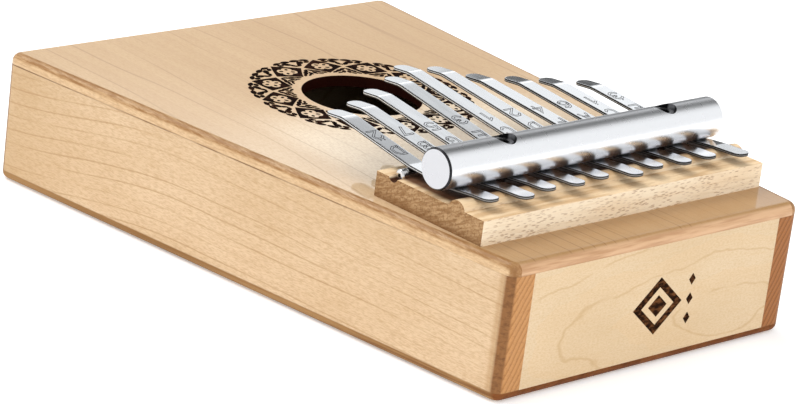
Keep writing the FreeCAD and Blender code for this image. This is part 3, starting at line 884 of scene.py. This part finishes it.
def path_lengths(samples):
    """Distance of each sample from the tail end."""
    lengths = [0.0]
    for first, second in zip(samples, samples[1:]):
        lengths.append(lengths[-1] + math.dist(first[:2], second[:2]))
    return lengths


def path_at(samples, lengths, distance):
    """(y, z, angle) at a distance along the path."""
    index = 1
    while lengths[index] < distance and index < len(lengths) - 1:
        index += 1
    span = lengths[index] - lengths[index - 1]
    share = (distance - lengths[index - 1]) / span if span else 0.0
    return tuple(a + (b - a) * share for a, b in zip(samples[index - 1], samples[index]))


def strip_outline(total, half_width, stations):
    """One long side of a strip, tail to tip, as (distance, across, normal, normal across)."""
    points = []
    for arc in range(ARC_STEPS + 1):
        angle = math.pi / 2 * arc / ARC_STEPS
        run, side = -math.cos(angle), math.sin(angle)
        middle = half_width - TAIL_CORNER
        points.append((TAIL_CORNER + TAIL_CORNER * run, middle + TAIL_CORNER * side, run, side))
    for station in stations:
        if TAIL_CORNER + FLAT_INSET < station < total - TIP_CORNER - FLAT_INSET:
            points.append((station, half_width, 0.0, 1.0))
    for arc in range(ARC_STEPS + 1):
        angle = math.pi / 2 * (1 - arc / ARC_STEPS)
        run, side = math.cos(angle), math.sin(angle)
        middle = half_width - TIP_CORNER
        points.append((total - TIP_CORNER + TIP_CORNER * run, middle + TIP_CORNER * side, run, side))
    return points


def strip_rings():
    """Inset from the outline and height above the underside, from bottom to top."""
    lower = [(EDGE_ROUND + FLAT_INSET, 0.0)]
    for degrees in (0, 30, 60, 90):
        angle = math.radians(degrees)
        lower.append((EDGE_ROUND * (1 - math.sin(angle)), EDGE_ROUND * (1 - math.cos(angle))))
    return lower + [(inset, GAUGE - height) for inset, height in reversed(lower)]


class Tongue:
    """Where one tongue lies, read from its two CAD nodes."""

    def __init__(self, number):
        self.number = number
        root_low, root_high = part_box(f"tongue_{number}_root")
        free_low, free_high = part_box(f"tongue_{number}")
        self.x = (root_low.x + root_high.x) / 2
        self.half_width = (root_high.x - root_low.x) / 2
        self.flex_y = (root_high.y + free_low.y) / 2
        self.under_rod = rod_high.z + CONTACT_GAP
        self.climb = (free_low.z - self.under_rod) / (free_low.y - rod_y)
        under_ridge = block_high.z + CONTACT_GAP
        under_bar = bar_low.z - CONTACT_GAP - GAUGE
        bend_y = free_high.y - TIP_LENGTH
        bend_z = self.under_at(bend_y)
        self.corners = [
            (root_low.y, under_ridge + (ridge_y - root_low.y) * TAIL_RISE),
            (ridge_y, under_ridge),
            (bar_y, under_bar),
            (rod_y, self.under_rod),
            (bend_y, bend_z),
            (free_high.y, bend_z - TIP_LENGTH * TIP_FALL),
        ]

    def under_at(self, y):
        """Height of the underside on the straight climb."""
        return self.under_rod + (y - rod_y) * self.climb


def add_tongue(tongue, material):
    """Continuous bent strip that stands for the clamped and the free CAD solid."""
    radii = (PRESS_BEND, PRESS_BEND, PRESS_BEND, TIP_BEND)
    samples = rounded_path(tongue.corners, radii, SAMPLE_STEP)
    lengths = path_lengths(samples)
    outline = strip_outline(lengths[-1], tongue.half_width, lengths)
    builder = Builder()
    along, through = [], []
    loops = []
    for inset, height in strip_rings():
        points = []
        for side in (1, -1):
            half = outline if side == 1 else list(reversed(outline))
            for distance, across, run, out in half:
                place = distance - run * inset
                y, z, angle = path_at(samples, lengths, place)
                x = side * (across - out * inset)
                points.append(
                    (tongue.x + x, y - height * math.sin(angle), z + height * math.cos(angle))
                )
                along.append(distance)
                through.append(height / GAUGE)
        loops.append(builder.loop(points))
    for lower, upper in zip(loops, loops[1:]):
        builder.bridge(lower, upper)
    count = len(outline)
    for ring, flip in ((loops[-1], False), (loops[0], True)):
        for index in range(count - 1):
            quad = (
                ring[index],
                ring[index + 1],
                ring[2 * count - 2 - index],
                ring[2 * count - 1 - index],
            )
            builder.faces.append(tuple(reversed(quad)) if flip else quad)
    strip = builder.piece(f"tongue_{tongue.number}_strip", material, 60.0)
    for name, values in (("along", along), ("through", through)):
        attribute = strip.data.attributes.new(name, "FLOAT", "POINT")
        attribute.data.foreach_set("value", values)
    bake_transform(strip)
    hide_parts(f"tongue_{tongue.number}", f"tongue_{tongue.number}_root")


# ------------ stamped marks

# Strokes of each sign in a box 1 wide and 1 high, the origin at its lower left.
SIGNS = {
    "A": [[(0, 0), (0.5, 1), (1, 0)], [(0.22, 0.38), (0.78, 0.38)]],
    "B": [
        [(0, 0), (0, 1), (0.6, 1), (0.9, 0.87), (0.9, 0.66), (0.6, 0.53), (0, 0.53)],
        [(0.6, 0.53), (1, 0.4), (1, 0.14), (0.65, 0), (0, 0)],
    ],
    "C": [[(1, 0.8), (0.75, 1), (0.3, 1), (0, 0.75), (0, 0.25), (0.3, 0), (0.75, 0), (1, 0.2)]],
    "D": [[(0, 0), (0, 1), (0.55, 1), (1, 0.74), (1, 0.26), (0.55, 0), (0, 0)]],
    "E": [[(1, 1), (0, 1), (0, 0), (1, 0)], [(0, 0.52), (0.8, 0.52)]],
    "F": [[(1, 1), (0, 1), (0, 0)], [(0, 0.52), (0.8, 0.52)]],
    "G": [
        [(1, 0.8), (0.75, 1), (0.3, 1), (0, 0.75), (0, 0.25), (0.3, 0), (0.75, 0), (1, 0.2)],
        [(1, 0.2), (1, 0.48), (0.6, 0.48)],
    ],
    "1": [[(0.2, 0.8), (0.55, 1), (0.55, 0)]],
    "2": [[(0, 0.8), (0.25, 1), (0.75, 1), (1, 0.8), (1, 0.62), (0, 0), (1, 0)]],
    "3": [
        [(0, 0.86), (0.3, 1), (0.7, 1), (1, 0.84), (1, 0.66), (0.55, 0.53)],
        [(0.55, 0.53), (1, 0.4), (1, 0.16), (0.7, 0), (0.3, 0), (0, 0.14)],
    ],
    "4": [[(0.75, 0), (0.75, 1), (0, 0.3), (1, 0.3)]],
    "5": [
        [(0.95, 1), (0.1, 1), (0, 0.55), (0.6, 0.6), (1, 0.43), (1, 0.17), (0.7, 0), (0.25, 0), (0, 0.14)]
    ],
    "6": [
        [(0.9, 0.9), (0.6, 1), (0.2, 0.85), (0, 0.45), (0, 0.18), (0.3, 0), (0.7, 0), (1, 0.18)],
        [(1, 0.18), (1, 0.4), (0.7, 0.56), (0.3, 0.56), (0.02, 0.4)],
    ],
    "7": [[(0, 1), (1, 1), (0.35, 0)]],
}
# Number, dots over it, and letter of each tongue, left to right.
MARKS = [
    ("2", 2, "D"),
    ("7", 0, "B"),
    ("5", 0, "G"),
    ("3", 0, "E"),
    ("1", 0, "C"),
    ("2", 0, "D"),
    ("4", 0, "F"),
    ("6", 0, "A"),
    ("1", 1, "C"),
    ("3", 1, "E"),
]
SIGN_WIDTH = 2.7 * MM
SIGN_HEIGHT = 4.0 * MM
LETTER_FROM_NEAR = 55.5 * MM
NUMBER_FROM_NEAR = 64.3 * MM
# Each stroke is drawn as its outline, between these two distances from its middle line.
STROKE_OUTER = 0.42 * MM
STROKE_INNER = 0.21 * MM
DOT_SPACING = 1.3 * MM
DOT_RISE = 0.9 * MM
MARK_BOTTOM = -0.01 * MM
MARK_TOP = 0.02 * MM


def offset_line(points, amount):
    """Open line moved sideways by an amount, its corners mitred."""
    moved = []
    for index, point in enumerate(points):
        here = Vector(point)
        into = (here - Vector(points[index - 1])).normalized() if index else None
        away = (Vector(points[index + 1]) - here).normalized() if index + 1 < len(points) else None
        into = into or away
        away = away or into
        middle = (into + away).normalized()
        side = Vector((-middle.y, middle.x))
        stretch = 1.0 / max(0.5, side.dot(Vector((-away.y, away.x))))
        moved.append(tuple(here + side * (amount * stretch)))
    return moved


def stroke_rim(line, half):
    """Closed outline at a distance all round an open line."""
    first, second = Vector(line[0]), Vector(line[1])
    last, before = Vector(line[-1]), Vector(line[-2])
    ends = [tuple(first + (first - second).normalized() * half)]
    ends.append(tuple(last + (last - before).normalized() * half))
    longer = [ends[0]] + line[1:-1] + [ends[1]]
    return offset_line(longer, half) + offset_line(longer, -half)[::-1]


def add_marks(tongue, material):
    """Number nearer the tip, letter nearer the bar, both read from the sound-hole side."""
    number, dots, letter = MARKS[tongue.number - 1]
    builder = Builder()
    angle = math.atan(tongue.climb)

    def on_tongue(middle_y):
        def place(u, v, height):
            y = middle_y - v * math.cos(angle)
            z = tongue.under_at(y) + (GAUGE + height) / math.cos(angle)
            return (tongue.x - u, y, z)

        return place

    for sign, distance in ((letter, LETTER_FROM_NEAR), (number, NUMBER_FROM_NEAR)):
        place = on_tongue(cad_low.y + distance)
        for stroke in SIGNS[sign]:
            line = [((u - 0.5) * SIGN_WIDTH, (v - 0.5) * SIGN_HEIGHT) for u, v in stroke]
            rims = [stroke_rim(line, half) for half in (STROKE_OUTER, STROKE_INNER)]
            builder.band(rims[0], rims[1], place, MARK_BOTTOM, MARK_TOP)
    place = on_tongue(cad_low.y + NUMBER_FROM_NEAR)
    for dot in range(dots):
        u = (dot - (dots - 1) / 2) * DOT_SPACING
        spot = oval(u, SIGN_HEIGHT / 2 + DOT_RISE, 0.26 * MM, 0.3 * MM)
        builder.plate(spot, place, MARK_BOTTOM, MARK_TOP)
    marks = builder.piece(f"tongue_{tongue.number}_marks", material)
    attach(marks, f"tongue_{tongue.number}")


# ------------ screws

HEAD_RADIUS = 3.2 * MM
HEAD_DEPTH = 3.3 * MM
SHANK_RADIUS = 1.9 * MM
SOCKET_RADIUS = 1.73 * MM
SOCKET_DEPTH = 1.8 * MM
KNURLS = 30
KNURL_DEPTH = 0.16 * MM


def add_screw(name, x, y, low_z, high_z, material):
    """Knurled socket-head screw, shank down."""
    builder = Builder()
    count = KNURLS * 4
    angles = [2 * math.pi * step / count for step in range(count)]

    def level_loop(sizes, z):
        """Loop at one height, with a distance from the axis for each angle."""
        return builder.loop(
            (x + size * math.cos(angle), y + size * math.sin(angle), z)
            for angle, size in zip(angles, sizes)
        )

    def ring(radius, z, knurled=0.0):
        waves = [0.5 + 0.5 * math.cos(angle * KNURLS) for angle in angles]
        return level_loop([radius - knurled * (1 - wave) for wave in waves], z)

    def hexagon(radius, z):
        flat = radius * math.cos(math.pi / 6)
        sizes = [flat / math.cos((angle % (math.pi / 3)) - math.pi / 6) for angle in angles]
        return level_loop(sizes, z)

    seat = high_z - HEAD_DEPTH
    rings = [
        ring(0.05 * MM, low_z),
        ring(SHANK_RADIUS - 0.5 * MM, low_z),
        ring(SHANK_RADIUS, low_z + 0.6 * MM),
        ring(SHANK_RADIUS, seat),
        ring(HEAD_RADIUS - 0.2 * MM, seat),
        ring(HEAD_RADIUS, seat + 0.15 * MM, KNURL_DEPTH),
        ring(HEAD_RADIUS, high_z - 0.55 * MM, KNURL_DEPTH),
        ring(HEAD_RADIUS - 0.12 * MM, high_z - 0.4 * MM),
        ring(HEAD_RADIUS - 0.45 * MM, high_z),
        ring(SOCKET_RADIUS + 0.25 * MM, high_z),
        hexagon(SOCKET_RADIUS, high_z - 0.15 * MM),
        hexagon(SOCKET_RADIUS, high_z - SOCKET_DEPTH),
        ring(0.05 * MM, high_z - SOCKET_DEPTH - 0.35 * MM),
    ]
    for lower, upper in zip(rings, rings[1:]):
        builder.bridge(lower, upper)
    builder.faces.append(tuple(reversed(rings[0])))
    builder.faces.append(tuple(rings[-1]))
    screw = builder.piece(name, material, 40.0)
    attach(screw, "sound_box")
    return screw


# ------------ the whole object


def dress(node, material):
    """Give a CAD node a material."""
    mesh = nodes[node].data
    mesh.materials.clear()
    mesh.materials.append(material)


add_camera()
add_floor()
add_light()

side_material = side_board_wood()
panel_material = panel_wood()
dress("top_board", top_board_wood())
dress("bottom_board", bottom_wood())
dress("left_side_board", side_material)
dress("right_side_board", side_material)
dress("near_end_panel", panel_material)
dress("far_end_panel", panel_material)
dress("bridge_block", block_wood())
dress("bridge_rod", rod_metal())
dress("pressure_bar", bar_metal())

add_rosette(burnt_wood("burnt_rosette", (0.006, 0.002, 0.001), (0.024, 0.008, 0.004)))
add_panel_ornament(burnt_wood("burnt_ornament", (0.016, 0.006, 0.003), (0.13, 0.05, 0.018)))

steel = tongue_metal()
ink = stamp_ink()
for tongue_number in range(1, TONGUE_COUNT + 1):
    place_of_tongue = Tongue(tongue_number)
    add_tongue(place_of_tongue, steel)
    add_marks(place_of_tongue, ink)

screw_low, screw_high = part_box("bar_screws")
screw_material = screw_metal()
for screw_name, screw_x in (
    ("screw_left", screw_low.x + HEAD_RADIUS),
    ("screw_right", screw_high.x - HEAD_RADIUS),
):
    add_screw(screw_name, screw_x, bar_y, screw_low.z, screw_high.z, screw_material)
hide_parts("bar_screws")
